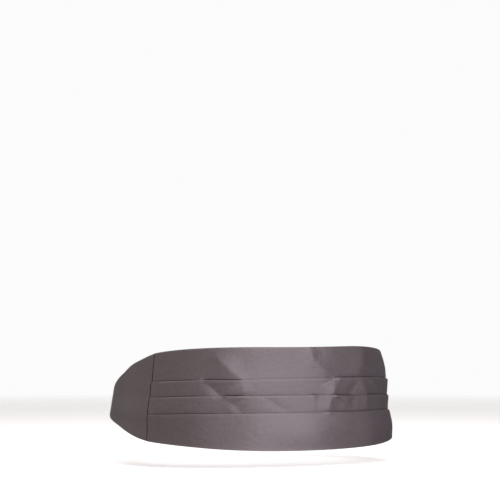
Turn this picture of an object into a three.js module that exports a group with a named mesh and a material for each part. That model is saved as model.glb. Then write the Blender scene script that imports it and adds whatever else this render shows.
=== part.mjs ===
// A satin cummerbund, fastened and in its worn shape: a front of one cloth folded into three upturned pleats,
// a plain tapering end panel sewn to each end of it, and an elastic strap from each panel to a flat clasp at
// the back. Millimetres, +Z up, front towards -Y, the wearer's left towards +X. The origin is the middle of
// the waist, at half the height of the front.
import * as THREE from "three";

// The waist that the band goes round, at half the height of the front.
const WAIST_WIDTH = 354; // side to side
const WAIST_DEPTH = 268; // front to back
const WAIST_SQUARENESS = 2.2; // 2 is an ellipse, and more is fuller at the corners
const SIDE_FLARE = 0.165; // how far the hip stands out for each millimetre down, at the sides
const FRONT_FLARE = 0.09; // the same at the front and back

// The pleated front.
const FRONT_LENGTH = 383; // from seam to seam
const LOWER_BAND = 48; // from the hem to the lowest fold
const PLEAT_STEP = 21; // from each fold to the next
const UPPER_BAND = 37; // from the highest fold to the rim
const PLEAT_COUNT = 3;
const PLEAT_DEPTH = 10; // how far each pleat's cloth turns down behind its fold
const CLOTH = 1.0; // thickness of the folded cloth
const PLY_GAP = 0.3; // between the plies of a pleat
const BACK_CLEARANCE = 0.2; // between the waist and the innermost ply
const EDGE_OUT = 2.4; // how far the hem and the rim stand off the waist, at the middle of the cloth

// The front narrows towards its seams.
const RIM_DROP = 8.1;
const HEM_RISE = 11.3;
const UPPER_FOLD_DROP = 5;
const LOWER_FOLD_DROP = 3.1;

// How far the worn cloth stands out of true, where each table below has 1 or -1.
const SWELL_DEPTH = 2.3;
const FOLD_OPENING = 1.4;
const DENT_DEPTH = 1.6;

// The end panels and the straps.
const PANEL_LENGTH = 135; // from the seam to the strap
const PANEL_WALL = 1.6;
const SEAM_GAP = 0.3;
const STRAP_WIDTH = 30;
const STRAP_WALL = 1.2;
const STRAP_LEVEL = -7; // height of the strap's middle line
const STRAP_LAP = 16; // how far the strap runs behind the tip of the end panel
const FOLD_BACK = 28; // the strap's end, turned back outside the clasp
const CLEARANCE = 0.3; // between pieces that lie on each other

// The clasp is one flat plate with a slot for each strap.
const CLASP_LENGTH = 40;
const CLASP_WALL = 2;
const CLASP_MARGIN = 4; // beyond each slot's ends
const CLASP_CORNER = 3;
const CLASP_BAR = 4; // the bar that each strap turns round
const SLOT_WIDTH = 3.6;

// Fineness of the mesh.
const FRONT_STATIONS = 34;
const PANEL_STATIONS = 15;
const PANEL_ROWS = 8;
const STRAP_STEP = 12;
const ARC_STEPS = 3;

const ply = CLOTH + PLY_GAP;
const frontHeight = LOWER_BAND + (PLEAT_COUNT - 1) * PLEAT_STEP + UPPER_BAND;
const seamAt = FRONT_LENGTH / 2;
const tipAt = seamAt + PANEL_LENGTH;
const pleatLean = (2 * ply) / PLEAT_STEP; // each pleat leans out from behind the one below it
const rootOut = BACK_CLEARANCE + CLOTH / 2;
const foldOut = rootOut + 2 * ply + pleatLean * PLEAT_DEPTH;
const strapOut = BACK_CLEARANCE + STRAP_WALL / 2;
const panelOut = BACK_CLEARANCE + STRAP_WALL + CLEARANCE + PANEL_WALL / 2;

// How the outline of the end panel falls from the seam to the strap, as shares of its length and of the fall.
const PANEL_OUTLINE = [
  { along: 0.0, top: 0.0, bottom: 0.0 },
  { along: 0.15, top: 0.155, bottom: 0.17 },
  { along: 0.3, top: 0.31, bottom: 0.38 },
  { along: 0.45, top: 0.53, bottom: 0.59 },
  { along: 0.6, top: 0.7, bottom: 0.75 },
  { along: 0.75, top: 0.85, bottom: 0.88 },
  { along: 0.9, top: 0.96, bottom: 0.97 },
  { along: 1.0, top: 1.0, bottom: 1.0 },
];

// How the cloth swells over the wearer's two sides: height is a share of half the front's height, and right and
// left are shares of SWELL_DEPTH.
const SIDE_SWELL = [
  { height: -1.0, right: -1.0, left: -1.0 },
  { height: -0.6, right: -0.8, left: 0.1 },
  { height: -0.25, right: 0.8, left: -0.5 },
  { height: 0.1, right: 0.5, left: 0.45 },
  { height: 0.5, right: 0.65, left: 1.0 },
  { height: 1.0, right: 0.85, left: -0.4 },
];

// Where a fold stands open: fold 0 is the lowest, from and to are shares of half the front's length, counted
// from its middle, and open is a share of FOLD_OPENING.
const OPEN_FOLDS = [
  { fold: 2, from: -0.68, to: -0.38, open: 1.0 },
  { fold: 2, from: 0.32, to: 0.92, open: 0.85 },
  { fold: 1, from: -0.64, to: -0.38, open: 0.8 },
  { fold: 1, from: 0.28, to: 0.5, open: 0.8 },
  { fold: 0, from: 0.26, to: 0.46, open: 0.55 },
];

// Soft dents and swells of the front: places and reaches are shares of half its length and of half its height,
// and out is a share of DENT_DEPTH.
const DENTS = [
  { along: -0.62, height: 0.42, reachAlong: 0.16, reachHeight: 0.35, out: -1.0 },
  { along: -0.4, height: 0.5, reachAlong: 0.14, reachHeight: 0.45, out: 0.95 },
  { along: -0.48, height: 0.18, reachAlong: 0.12, reachHeight: 0.14, out: -0.7 },
  { along: 0.42, height: 0.62, reachAlong: 0.16, reachHeight: 0.4, out: -0.95 },
  { along: 0.22, height: 0.3, reachAlong: 0.14, reachHeight: 0.3, out: 0.8 },
  { along: 0.62, height: 0.0, reachAlong: 0.12, reachHeight: 0.22, out: 0.7 },
  { along: -0.25, height: -0.62, reachAlong: 0.3, reachHeight: 0.35, out: 0.55 },
  { along: 0.55, height: -0.6, reachAlong: 0.2, reachHeight: 0.4, out: -0.6 },
];

const smooth = (share) => {
  const x = Math.min(1, Math.max(0, share));
  return x * x * (3 - 2 * x);
};

// The value of a table's column at a place, on a smooth curve through its rows.
function tableAt(rows, key, column, at) {
  const last = rows.length - 1;
  const x = Math.min(rows[last][key], Math.max(rows[0][key], at));
  const i = Math.min(last - 1, rows.findLastIndex((row) => row[key] <= x));
  const slope = (j) => {
    const [a, b] = [rows[Math.max(0, j - 1)], rows[Math.min(last, j + 1)]];
    return (b[column] - a[column]) / (b[key] - a[key]);
  };
  const [from, to] = [rows[i], rows[i + 1]];
  const span = to[key] - from[key];
  const t = (x - from[key]) / span;
  const bend = t * (1 - t) * span;
  const ease = smooth(t);
  return (
    from[column] * (1 - ease) + to[column] * ease +
    bend * (slope(i) * (1 - t) - slope(i + 1) * t)
  );
}

// The waist's outline at a height, at an angle from the front: how far out it lies.
function waistReach(angle, height) {
  const halfWidth = WAIST_WIDTH / 2 - SIDE_FLARE * height;
  const halfDepth = WAIST_DEPTH / 2 - FRONT_FLARE * height;
  const across = Math.abs(Math.sin(angle)) / halfWidth;
  const ahead = Math.abs(Math.cos(angle)) / halfDepth;
  return (across ** WAIST_SQUARENESS + ahead ** WAIST_SQUARENESS) ** (-1 / WAIST_SQUARENESS);
}

// Distances along the waist at the middle height, from the front to the back, for evenly spaced angles.
const ANGLE_STEPS = 720;
const distances = [0];
for (let i = 1; i <= ANGLE_STEPS; i++) {
  const [a, b] = [i - 1, i].map((k) => {
    const angle = (k * Math.PI) / ANGLE_STEPS;
    const reach = waistReach(angle, 0);
    return new THREE.Vector2(reach * Math.sin(angle), reach * Math.cos(angle));
  });
  distances.push(distances[i - 1] + a.distanceTo(b));
}
const halfGirth = distances[ANGLE_STEPS];

// The angle from the front at a distance along the waist, positive towards the wearer's left.
function angleAt(along) {
  const far = Math.min(halfGirth, Math.abs(along));
  const i = Math.min(ANGLE_STEPS - 1, distances.findLastIndex((d) => d <= far));
  const share = (far - distances[i]) / (distances[i + 1] - distances[i]);
  return (Math.sign(along) * (i + share) * Math.PI) / ANGLE_STEPS;
}

// The point at a distance along the waist from the middle of the front, at a height, and so far off the waist.
function wrap(along, height, out) {
  const angle = angleAt(along);
  const reach = waistReach(angle, height);
  const x = reach * Math.sin(angle);
  const y = -reach * Math.cos(angle);
  const halfWidth = WAIST_WIDTH / 2 - SIDE_FLARE * height;
  const halfDepth = WAIST_DEPTH / 2 - FRONT_FLARE * height;
  const steepness = WAIST_SQUARENESS - 1;
  const facing = new THREE.Vector2(
    (Math.sign(x) * Math.abs(x / halfWidth) ** steepness) / halfWidth,
    (Math.sign(y) * Math.abs(y / halfDepth) ** steepness) / halfDepth,
  ).normalize();
  return new THREE.Vector3(x + out * facing.x, y + out * facing.y, height);
}

// How far the worn cloth stands out of true, from the two tables.
function swellAt(along, height) {
  const up = (2 * height) / frontHeight;
  const side = smooth((Math.abs(along) / seamAt - 0.35) / 0.6);
  let out = side * SWELL_DEPTH * tableAt(SIDE_SWELL, "height", along < 0 ? "right" : "left", up);
  for (const dent of DENTS) {
    const a = (along / seamAt - dent.along) / dent.reachAlong;
    const h = (up - dent.height) / dent.reachHeight;
    out += DENT_DEPTH * dent.out * Math.exp(-(a * a + h * h));
  }
  return out;
}

// How far a fold stands open at a place along the front.
function openAt(fold, along) {
  let open = 0;
  for (const row of OPEN_FOLDS.filter((r) => r.fold === fold)) {
    const share = (along / seamAt - row.from) / (row.to - row.from);
    if (share > 0 && share < 1) open += row.open * Math.sin(share * Math.PI) ** 2;
  }
  return open * FOLD_OPENING;
}

// Heights of the hem, the folds from the lowest up, and the rim, at a place along the front.
function levelsAt(along) {
  const share = Math.min(1, Math.abs(along) / seamAt);
  const hem = -frontHeight / 2 + HEM_RISE * share ** 2.2;
  const rim = frontHeight / 2 - RIM_DROP * share ** 4;
  const folds = [];
  for (let fold = 0; fold < PLEAT_COUNT; fold++) {
    const drop = fold === PLEAT_COUNT - 1 ? UPPER_FOLD_DROP : LOWER_FOLD_DROP;
    folds.push(-frontHeight / 2 + LOWER_BAND + fold * PLEAT_STEP - drop * share ** 2.3);
  }
  return { hem, folds, rim };
}

// The middle line of the pleated cloth across its height at one place, from the hem to the rim. Each point has
// its height as run and how far out it is, and the direction that its outer face looks, as ahead and off.
function pleatLine(along) {
  const { hem, folds, rim } = levelsAt(along);
  const turn = ply / 2;
  const line = [];
  const add = (run, out, ahead, off) => line.push({ run, out, ahead, off });
  let start = { height: hem, out: EDGE_OUT };
  add(start.height, start.out, 0, 1);
  folds.forEach((fold, index) => {
    const outer = foldOut + openAt(index, along);
    const crest = fold - CLOTH / 2 - turn;
    const valley = fold - PLEAT_DEPTH + turn;
    const root = rootOut + turn + pleatLean * turn;
    for (const share of [0.3, 0.6, 0.85]) {
      const height = THREE.MathUtils.lerp(start.height, crest, share);
      add(height, THREE.MathUtils.lerp(start.out, outer, share), 0, 1);
    }
    for (let i = 0; i <= ARC_STEPS; i++) {
      const angle = (i * Math.PI) / ARC_STEPS;
      const [s, c] = [Math.sin(angle), Math.cos(angle)];
      add(crest + turn * s, outer - turn + turn * c, s, c);
    }
    for (let i = 0; i <= ARC_STEPS; i++) {
      const angle = (i * Math.PI) / ARC_STEPS;
      const [s, c] = [Math.sin(angle), Math.cos(angle)];
      add(valley - turn * s, root + turn * c, s, -c);
    }
    start = { height: valley, out: root - turn };
  });
  // The upper band comes out from behind the highest fold and then lies nearly flat up to the rim.
  const emerge = { height: folds.at(-1), out: foldOut - 2 * ply };
  for (const share of [0.35, 1]) {
    const height = THREE.MathUtils.lerp(start.height, emerge.height, share);
    add(height, THREE.MathUtils.lerp(start.out, emerge.out, share), 0, 1);
  }
  for (const share of [0.2, 0.45, 0.7, 0.9, 1]) {
    const height = THREE.MathUtils.lerp(emerge.height, rim, share);
    add(height, THREE.MathUtils.lerp(emerge.out, EDGE_OUT, smooth(share)), 0, 1);
  }
  return line;
}

// A closed ring round a wall: out along one face of its middle line and back along the other.
function ringRound(line, wall) {
  const face = (side) =>
    line.map((p) => ({ run: p.run + (side * wall * p.ahead) / 2, out: p.out + (side * wall * p.off) / 2 }));
  return [...face(1), ...face(-1).reverse()];
}

// A closed mesh through such rings, with each end closed by a ladder from one face of the wall to the other.
function loft(rings) {
  const count = rings[0].length;
  const index = [];
  for (let r = 0; r + 1 < rings.length; r++) {
    for (let i = 0; i < count; i++) {
      const j = (i + 1) % count;
      const [a, b, c, d] = [r * count + i, r * count + j, (r + 1) * count + j, (r + 1) * count + i];
      index.push(a, c, b, a, d, c);
    }
  }
  const end = (rings.length - 1) * count;
  for (let i = 0; i + 1 < count / 2; i++) {
    const [a, b, c, d] = [i, i + 1, count - 2 - i, count - 1 - i];
    index.push(a, b, c, a, c, d, end + a, end + c, end + b, end + a, end + d, end + c);
  }
  const geometry = new THREE.BufferGeometry().setFromPoints(rings.flat());
  geometry.setIndex(facingOut(geometry, index));
  geometry.computeVertexNormals();
  return geometry;
}

// The triangles, turned round if they enclose a negative volume.
function facingOut(geometry, index) {
  const place = geometry.getAttribute("position");
  const corner = (i) => new THREE.Vector3().fromBufferAttribute(place, i);
  let volume = 0;
  for (let i = 0; i < index.length; i += 3) {
    const [a, b, c] = [corner(index[i]), corner(index[i + 1]), corner(index[i + 2])];
    volume += a.dot(b.cross(c));
  }
  if (volume < 0) {
    for (let i = 0; i < index.length; i += 3) {
      [index[i + 1], index[i + 2]] = [index[i + 2], index[i + 1]];
    }
  }
  return index;
}

function pleatedFront() {
  const reach = seamAt - SEAM_GAP / 2;
  const rings = [];
  for (let i = 0; i <= FRONT_STATIONS; i++) {
    const along = reach * ((2 * i) / FRONT_STATIONS - 1);
    const ring = ringRound(pleatLine(along), CLOTH);
    rings.push(ring.map((p) => wrap(along, p.run, p.out + swellAt(along, p.run))));
  }
  return loft(rings);
}

// Heights of the lower and upper edge of an end panel, at a share of its length from the seam.
function panelEdges(share) {
  const { hem, rim } = levelsAt(seamAt);
  const bottom = tableAt(PANEL_OUTLINE, "along", "bottom", share);
  const top = tableAt(PANEL_OUTLINE, "along", "top", share);
  return {
    lower: THREE.MathUtils.lerp(hem, STRAP_LEVEL - STRAP_WIDTH / 2, bottom),
    upper: THREE.MathUtils.lerp(rim, STRAP_LEVEL + STRAP_WIDTH / 2, top),
  };
}

function endPanel(side) {
  const rings = [];
  for (let i = 0; i <= PANEL_STATIONS; i++) {
    const share = i / PANEL_STATIONS;
    const along = seamAt + SEAM_GAP / 2 + share * (PANEL_LENGTH - SEAM_GAP / 2);
    const { lower, upper } = panelEdges(share);
    const line = [];
    for (let row = 0; row <= PANEL_ROWS; row++) {
      line.push({ run: THREE.MathUtils.lerp(lower, upper, row / PANEL_ROWS), out: panelOut, ahead: 0, off: 1 });
    }
    // Towards its tip the panel lies true, so that the strap behind it fits.
    const settle = 1 - smooth((share - 0.45) / 0.3);
    rings.push(
      ringRound(line, PANEL_WALL).map((p) =>
        wrap(side * along, p.run, p.out + settle * swellAt(side * seamAt, p.run)),
      ),
    );
  }
  return loft(rings);
}

// The strap's middle line seen from above: from behind the end panel to the clasp, out through its slot,
// round its bar and back along the outside.
function strapLine() {
  const turn = CLASP_WALL / 2 + CLEARANCE + STRAP_WALL / 2;
  const barEnd = halfGirth - CLASP_LENGTH / 2 + CLASP_BAR;
  const line = [];
  const start = tipAt - STRAP_LAP;
  const steps = Math.round((barEnd - start) / STRAP_STEP);
  for (let i = 0; i < steps; i++) {
    line.push({ run: THREE.MathUtils.lerp(start, barEnd, i / steps), out: strapOut, ahead: 0, off: -1 });
  }
  for (let i = 0; i <= 2 * ARC_STEPS; i++) {
    const angle = (i * Math.PI) / (2 * ARC_STEPS);
    const [s, c] = [Math.sin(angle), Math.cos(angle)];
    line.push({ run: barEnd + turn * s, out: strapOut + turn - turn * c, ahead: s, off: -c });
  }
  const lying = strapOut + STRAP_WALL + CLEARANCE;
  const clearOfBar = barEnd - CLASP_BAR - CLEARANCE;
  line.push({ run: clearOfBar, out: strapOut + 2 * turn, ahead: 0, off: 1 });
  for (const share of [0.45, 0.72, 1]) {
    line.push({ run: clearOfBar - share * (FOLD_BACK - CLASP_BAR), out: lying, ahead: 0, off: 1 });
  }
  return line;
}

function strap(side) {
  const ring = ringRound(strapLine(), STRAP_WALL);
  const rings = [-0.5, 0, 0.5].map((share) =>
    ring.map((p) => wrap(side * p.run, STRAP_LEVEL + share * STRAP_WIDTH, p.out)),
  );
  return loft(rings);
}

// A rectangle with rounded corners, centred on a place along and the strap's level.
function roundedRectangle(target, middle, length, height, corner) {
  const [x, y] = [middle - length / 2, STRAP_LEVEL - height / 2];
  target.moveTo(x + corner, y);
  target.lineTo(x + length - corner, y);
  target.quadraticCurveTo(x + length, y, x + length, y + corner);
  target.lineTo(x + length, y + height - corner);
  target.quadraticCurveTo(x + length, y + height, x + length - corner, y + height);
  target.lineTo(x + corner, y + height);
  target.quadraticCurveTo(x, y + height, x, y + height - corner);
  target.lineTo(x, y + corner);
  target.quadraticCurveTo(x, y, x + corner, y);
  return target;
}

function clasp() {
  const slotHeight = STRAP_WIDTH + 2 * CLEARANCE;
  const plate = roundedRectangle(
    new THREE.Shape(), 0, CLASP_LENGTH, slotHeight + 2 * CLASP_MARGIN, CLASP_CORNER,
  );
  for (const side of [-1, 1]) {
    const middle = side * (CLASP_LENGTH / 2 - CLASP_BAR - SLOT_WIDTH / 2);
    plate.holes.push(roundedRectangle(new THREE.Path(), middle, SLOT_WIDTH, slotHeight, CLEARANCE));
  }
  const geometry = new THREE.ExtrudeGeometry(plate, {
    depth: CLASP_WALL, bevelEnabled: false, curveSegments: ARC_STEPS,
  });
  // The flat plate's own x runs along the waist from the middle of the back, y is its height and z its wall.
  const place = geometry.getAttribute("position");
  const inner = strapOut + STRAP_WALL / 2 + CLEARANCE;
  for (let i = 0; i < place.count; i++) {
    const along = place.getX(i);
    const at = along < 0 ? halfGirth + along : along - halfGirth;
    const point = wrap(at, place.getY(i), inner + place.getZ(i));
    place.setXYZ(i, point.x, point.y, point.z);
  }
  geometry.computeVertexNormals();
  return geometry;
}

const satin = () =>
  new THREE.MeshStandardMaterial({ color: 0x756b70, roughness: 0.42, metalness: 0, side: THREE.DoubleSide });
const elastic = () => new THREE.MeshStandardMaterial({ color: 0x5f575b, roughness: 0.85, metalness: 0 });
const nickel = () => new THREE.MeshStandardMaterial({ color: 0xb9b7b4, roughness: 0.3, metalness: 1 });

const cummerbund = new THREE.Group();

function addPiece(name, geometry, material) {
  const mesh = new THREE.Mesh(geometry, material);
  mesh.name = name;
  cummerbund.add(mesh);
}

addPiece("pleated_front", pleatedFront(), satin());
addPiece("end_panel_right", endPanel(-1), satin());
addPiece("end_panel_left", endPanel(1), satin());
addPiece("strap_right", strap(-1), elastic());
addPiece("strap_left", strap(1), elastic());
addPiece("clasp", clasp(), nickel());

export default cummerbund;
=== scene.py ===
# %% [markdown]
# # A satin cummerbund in its worn shape
# A cummerbund is a pleated sash worn round the waist. Its front is one satin cloth folded into pleats, a
# plain panel is sewn to each end of it, and elastic straps with a clasp close it at the back. This lesson
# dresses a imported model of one, called the frame. Each piece could be placed by eye, but sizes and places
# that come from the frame keep the dressed model true to it. Nothing in the frame moves.

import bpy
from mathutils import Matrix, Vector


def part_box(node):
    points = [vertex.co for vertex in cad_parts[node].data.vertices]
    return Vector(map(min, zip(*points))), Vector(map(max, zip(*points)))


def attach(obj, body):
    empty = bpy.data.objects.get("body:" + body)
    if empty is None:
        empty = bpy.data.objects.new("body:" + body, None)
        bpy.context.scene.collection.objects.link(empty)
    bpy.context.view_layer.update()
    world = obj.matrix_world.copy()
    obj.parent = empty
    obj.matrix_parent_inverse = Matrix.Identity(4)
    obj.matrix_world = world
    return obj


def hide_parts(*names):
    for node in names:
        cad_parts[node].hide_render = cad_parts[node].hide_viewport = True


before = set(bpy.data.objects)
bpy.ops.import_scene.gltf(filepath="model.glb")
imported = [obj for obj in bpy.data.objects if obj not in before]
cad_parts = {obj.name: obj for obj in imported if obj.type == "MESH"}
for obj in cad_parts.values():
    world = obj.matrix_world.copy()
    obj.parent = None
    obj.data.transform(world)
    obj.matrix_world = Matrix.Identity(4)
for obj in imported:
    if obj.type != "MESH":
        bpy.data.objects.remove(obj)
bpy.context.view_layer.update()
print("pieces in the frame:", sorted(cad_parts))

# %% [markdown]
# ## Numbers and soft curves
# Numpy works out many points at once, which keeps a fine mesh quick. Everything is in metres, so a size
# that is easier to read in millimetres is written with MM. Worn cloth has no sudden steps, so values are
# blended with soft ends, or run through a smooth curve.

# %% The helpers that every step needs
import math

import bmesh
import bpy
import numpy as np
from mathutils import Vector

MM = 0.001


def smooth(share):
    """0 to 1 with soft ends, as a share goes from 0 to 1."""
    x = np.clip(share, 0, 1)
    return x * x * (3 - 2 * x)


def blend(a, b, share):
    """A value between a and b, by a share from 0 to 1."""
    return a + (b - a) * share


def soft_curve(places, values, at):
    """A smooth curve through a few values."""
    places, values = np.array(places, float), np.array(values, float)
    slopes = np.gradient(values, places)
    step = np.clip(np.searchsorted(places, at, side="right") - 1, 0, len(places) - 2)
    span = places[step + 1] - places[step]
    share = np.clip((at - places[step]) / span, 0, 1)
    bend = share * (1 - share) * span
    ends = slopes[step] * (1 - share) - slopes[step + 1] * share
    return blend(values[step], values[step + 1], smooth(share)) + bend * ends


print("a soft blend:", [round(float(smooth(share)), 2) for share in (0, 0.25, 0.5, 0.75, 1)])

# %% [markdown]
# ## The waist
# The band follows a waist, so every point of it is told by three lengths: how far along the waist it lies
# from the middle of the front, how high it is, and how far out. The waist is a superellipse, an oval with
# slightly full corners. It widens downward, over the hips. One could bend a flat band with a curve
# modifier instead, but a formula keeps the stitches, the folds and the cloth's texture at their true
# size.

# %% The waist's outline, and a point on it
WAIST_WIDTH = 354 * MM
WAIST_DEPTH = 268 * MM
WAIST_SQUARENESS = 2.2
SIDE_FLARE = 0.165
FRONT_FLARE = 0.09
OUTLINE_POINTS = 1441


def waist_halves(height):
    """Half the waist's width and half its depth, at a height."""
    return WAIST_WIDTH / 2 - SIDE_FLARE * height, WAIST_DEPTH / 2 - FRONT_FLARE * height


def waist_reach(angle, height):
    """How far the outline is from the middle, at an angle from straight ahead."""
    half_width, half_depth = waist_halves(height)
    across = np.abs(np.sin(angle)) / half_width
    ahead = np.abs(np.cos(angle)) / half_depth
    return (across**WAIST_SQUARENESS + ahead**WAIST_SQUARENESS) ** (-1 / WAIST_SQUARENESS)


angles = np.linspace(0, np.pi, OUTLINE_POINTS)
level_reach = waist_reach(angles, 0)
level_x, level_y = level_reach * np.sin(angles), level_reach * np.cos(angles)
distances = np.concatenate([[0], np.cumsum(np.hypot(np.diff(level_x), np.diff(level_y)))])
half_girth = distances[-1]


def wrap(along, height, out):
    """Points on the worn band, from how far along, how high and how far out each one lies."""
    along, height, out = np.broadcast_arrays(along, height, out)
    angle = np.sign(along) * np.interp(np.abs(along), distances, angles)
    reach = waist_reach(angle, height)
    x, y = reach * np.sin(angle), -reach * np.cos(angle)
    half_width, half_depth = waist_halves(height)
    steepness = WAIST_SQUARENESS - 1
    facing_x = np.sign(x) * np.abs(x / half_width) ** steepness / half_width
    facing_y = np.sign(y) * np.abs(y / half_depth) ** steepness / half_depth
    size = np.hypot(facing_x, facing_y)
    return np.stack([x + out * facing_x / size, y + out * facing_y / size, height], axis=-1)


print(f"the waist is {2 * half_girth:.3f} m round")

# %% [markdown]
# ## The camera
# The camera comes early, because every look at the work goes through it. It stands as the photograph's
# did: to the wearer's right of the front, a little above the band, and nearly three metres away with a
# long lens. It could be turned with a constraint, but two angles say the same and can be read. The band
# lies low in the picture, so the camera looks a little over it.

# %% Camera
VIEW_DISTANCE = 2922 * MM
VIEW_AZIMUTH = math.radians(-26.43)
VIEW_ELEVATION = math.radians(2)
AIM = Vector((0, 0, -4.4 * MM))
# The length of the lens and the turn and tilt away from the aim are in pixels of a picture that is 500 wide.
PHOTO_SIDE = 500
LENS_PIXELS = 2280
TURN_PIXELS = 1.05
TILT_PIXELS = 148.7

camera_data = bpy.data.cameras.new("camera")
camera_data.lens = camera_data.sensor_width * LENS_PIXELS / PHOTO_SIDE
camera = bpy.data.objects.new("camera", camera_data)
bpy.context.collection.objects.link(camera)
bpy.context.scene.camera = camera
towards_camera = Vector((
    math.cos(VIEW_ELEVATION) * math.sin(VIEW_AZIMUTH),
    -math.cos(VIEW_ELEVATION) * math.cos(VIEW_AZIMUTH),
    math.sin(VIEW_ELEVATION),
))
camera.location = AIM + VIEW_DISTANCE * towards_camera
tilt = math.atan(TILT_PIXELS / LENS_PIXELS)
turn = math.atan(TURN_PIXELS / LENS_PIXELS)
camera.rotation_euler = (math.pi / 2 - VIEW_ELEVATION + tilt, 0, VIEW_AZIMUTH + turn)
print(f"camera at {tuple(round(x, 3) for x in camera.location)}, lens {camera_data.lens:.1f} mm")

# %% [markdown]
# ## Cloth as a closed wall
# Real cloth has two faces and an edge between them, so each cloth here is a closed wall, not a bare
# sheet. Its section is a middle line with half a thickness at each point. At its edges the wall narrows
# like a half circle, which gives a rounded, turned edge. A solidify modifier could thicken a sheet too,
# but here each point must also know its place in the flat cloth, for the weave, and that is easy to work
# out from the line.

# %% The section of a wall, and the ring round it
EDGE_TURNS = np.radians([84, 62, 38, 16])


class Section:
    """The middle line of a wall, one column a point, one row a station."""

    def __init__(self):
        self.columns = []

    def add(self, run, out, half):
        self.columns.append(np.stack(np.broadcast_arrays(run, out, half), axis=-1))

    def edge(self, run, out, half, inward):
        """A rounded edge. Inward is 1 where the line starts at the edge, and -1 where it ends there."""
        for angle in EDGE_TURNS[::inward]:
            self.add(run + inward * half * (1 - math.sin(angle)), out, half * math.cos(angle))

    def points(self):
        shape = np.broadcast_shapes(*[column.shape for column in self.columns])
        return np.stack([np.broadcast_to(column, shape) for column in self.columns], axis=-2)


def ring_of(points):
    """Run and out of a closed ring: along the outer face of the wall and back along the inner one."""
    run, out, half = np.moveaxis(points, -1, 0)
    ahead, off = -np.gradient(out, axis=-1), np.gradient(run, axis=-1)
    size = np.hypot(ahead, off)
    ahead, off = ahead / size, off / size
    outer = np.stack([run + half * ahead, out + half * off], axis=-1)
    inner = np.stack([run - half * ahead, out - half * off], axis=-1)
    return np.concatenate([outer, inner[..., ::-1, :]], axis=-2)


def woven_places(points, station):
    """Where each point of the ring lies in the flat cloth, and 1 on the wall's inner face."""
    steps = np.hypot(np.diff(points[..., 0], axis=-1), np.diff(points[..., 1], axis=-1))
    up = np.concatenate([np.zeros(steps.shape[:-1] + (1,)), np.cumsum(steps, axis=-1)], axis=-1)
    up = np.concatenate([up, up[..., ::-1]], axis=-1)
    inner = np.zeros(up.shape)
    inner[..., up.shape[-1] // 2:] = 1
    return np.stack([np.broadcast_to(station[:, None], up.shape), up, inner], axis=-1)


print("a turned edge has", len(EDGE_TURNS), "points on each face")

# %% [markdown]
# Rings round that section are joined from station to station with four-sided faces, and a ladder of faces
# between the wall's two faces closes each end. The mesh could be skinned over rings drawn by hand, but a
# mesh from lists of points and faces is made in one step. The piece keeps each point's place in the flat
# cloth as an attribute called woven_place, which the materials read.

# %% Turn rings into a piece
def wall_faces(stations, count):
    """The faces between the rings, and the two ladders that close the ends."""
    first = np.arange(stations - 1)[:, None] * count + np.arange(count)[None, :]
    following = np.arange(stations - 1)[:, None] * count + (np.arange(count)[None, :] + 1) % count
    sides = np.stack([first, first + count, following + count, following], axis=-1).reshape(-1, 4)
    rung = np.arange(count // 2 - 1)
    ladder = np.stack([rung, rung + 1, count - 2 - rung, count - 1 - rung], axis=-1)
    return sides, ladder, ladder[:, ::-1] + (stations - 1) * count


def add_piece(name, mesh, places):
    """Puts a mesh into the scene as a piece of the cummerbund, with each point's place in the flat cloth."""
    attribute = mesh.attributes.new("woven_place", "FLOAT_VECTOR", "POINT")
    attribute.data.foreach_set("vector", places.reshape(-1).astype(np.float32))
    piece = bpy.data.objects.new(name, mesh)
    bpy.context.collection.objects.link(piece)
    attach(piece, "root")
    return piece


def build_wall(name, rings, woven, seam_steps=()):
    """A piece through rings of points, closed at both ends.

    The outer face of the steps that lie in a seam gets the piece's second material, and so does a ladder
    next to such a step."""
    stations, count = rings.shape[:2]
    sides, ladder, far_ladder = wall_faces(stations, count)
    faces = np.concatenate([sides, ladder, far_ladder])
    corners = rings.reshape(-1, 3)
    a, b, c, d = (corners[faces[:, corner]] for corner in range(4))
    volume = np.einsum("ij,ij->", a, np.cross(b, c)) + np.einsum("ij,ij->", a, np.cross(c, d))
    if volume < 0:
        faces = faces[:, ::-1]
    mesh = bpy.data.meshes.new(name)
    mesh.from_pydata(corners.tolist(), [], faces.tolist())
    # The faces in a seam get the second material, which paints the seam's shade dark.
    in_seam = np.zeros(len(faces), dtype=bool)
    for step in seam_steps:
        in_seam[step * count:step * count + count // 2] = True
    in_seam[len(sides):len(sides) + len(ladder)] = 0 in seam_steps
    in_seam[len(sides) + len(ladder):] = stations - 2 in seam_steps
    mesh.polygons.foreach_set("material_index", in_seam.astype(int))
    mesh.polygons.foreach_set("use_smooth", np.arange(len(faces)) < len(sides))
    print(f"{name}: {len(mesh.vertices)} points, {2 * len(faces)} triangles")
    return add_piece(name, mesh, woven)


# %% [markdown]
# ## The pleated front
# The front's height comes from the frame. The three folds lie at set heights above the hem. The hem, the
# folds and the rim curve towards the seams, because the cloth narrows there, and the worn fold lines also
# sag here and there. Each line could be a drawn curve. A power of the way to the seam gives the same
# sweep with one number, and a short table gives each sag its place.

# %% Heights of the hem, the folds and the rim
front_low, front_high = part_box("pleated_front")
front_height = front_high.z - front_low.z
HALF_FRONT = 383 * MM / 2
LOWER_BAND = 47.6 * MM
PLEAT_STEP = 21 * MM
PLEAT_COUNT = 3
HEM_RISE = 11.3 * MM
HEM_SWEEP = 2.2
RIM_DROP = 8.1 * MM
RIM_SWEEP = 4
UPPER_FOLD_DROP = 5 * MM
LOWER_FOLD_DROP = 3.1 * MM
FOLD_SWEEP = 2.3

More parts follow.
